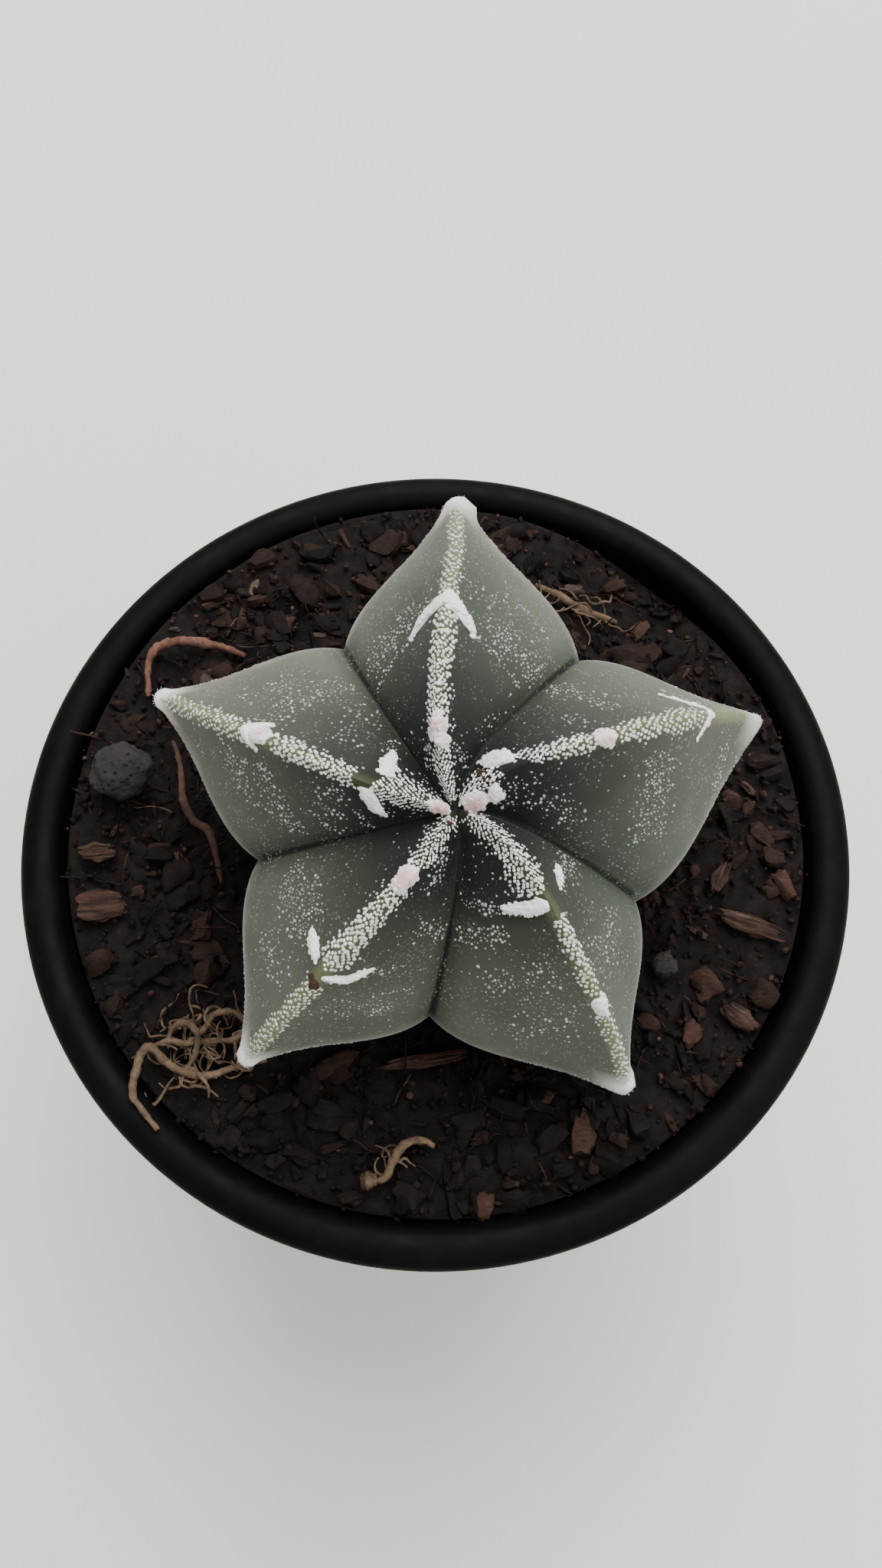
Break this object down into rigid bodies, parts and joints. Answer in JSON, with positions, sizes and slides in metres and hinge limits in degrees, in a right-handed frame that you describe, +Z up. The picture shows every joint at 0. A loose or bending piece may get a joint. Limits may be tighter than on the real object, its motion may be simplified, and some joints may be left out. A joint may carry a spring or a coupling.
{
  "type": "potted bishops cap cactus",
  "caption": "Spineless ribbed star-shaped cactus with white flecks and woolly areoles, leaning slightly in a round black plastic pot of bark mix.",
  "frame": {"origin": "middle of the pot's foot, on the surface that it stands on", "axes": "+Z up; -Y is the front, towards which the plant leans; +X to the right seen from the front"},
  "size_m": [0.08, 0.08, 0.0974],
  "materials": {
    "pot": "satin black, injection moulded",
    "potting_mix": "dark damp bark and peat",
    "cactus_skin": "dull waxy grey-green skin with white flecks",
    "wool": "short white and pinkish wool",
    "dried_root": "dry and dull",
    "bark": "dull red-brown bark",
    "pumice": "rough grey stone"
  },
  "bodies": {
    "root": {"pot": "pot", "potting_mix": "potting_mix", "cactus_stem": "cactus_skin", "root_tangle": "dried_root", "root_left_arc": "dried_root", "root_left_low": "dried_root", "root_front": "dried_root", "root_right": "dried_root", "bark_stick": "bark", "bark_chip_1": "bark", "bark_chip_2": "bark", "bark_chip_3": "bark", "bark_chip_4": "bark", "bark_chip_5": "bark", "pumice_pebble": "pumice", "pale_pebble": "pumice"}
  },
  "joints": []
}
